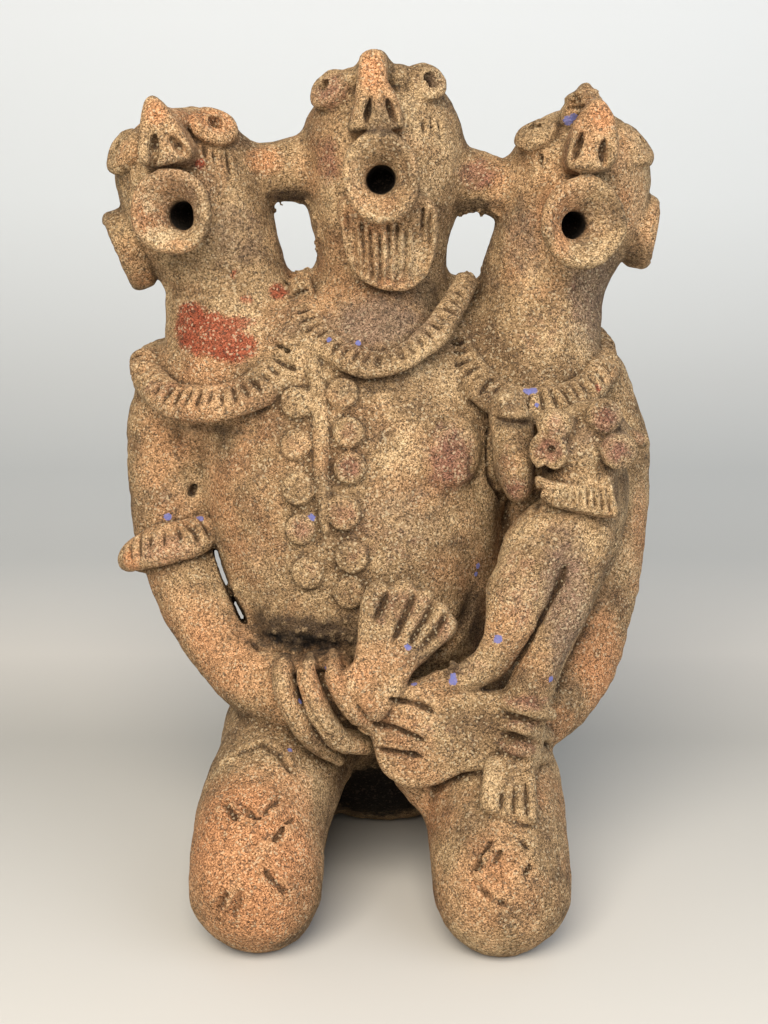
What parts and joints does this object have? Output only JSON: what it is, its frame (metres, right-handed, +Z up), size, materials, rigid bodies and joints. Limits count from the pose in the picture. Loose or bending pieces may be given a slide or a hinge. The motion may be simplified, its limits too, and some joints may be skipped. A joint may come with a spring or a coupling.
{
  "type": "kneeling terracotta figure",
  "caption": "Hand-modelled clay figure kneeling on its shins, with three necked heads joined ear to ear, notched collars, folded arms and a child on one arm.",
  "frame": {"origin": "bottom centre of the bounding box, on the surface the figure kneels on", "axes": "+Z up along the figure's height, -Y is the front that the faces and knees point to, +X is to the right of a person looking at the front"},
  "size_m": [0.2738, 0.2564, 0.399],
  "materials": {
    "terracotta": "unglazed, sandy and weathered"
  },
  "bodies": {
    "root": {"kneeling_figure": "terracotta"}
  },
  "joints": []
}
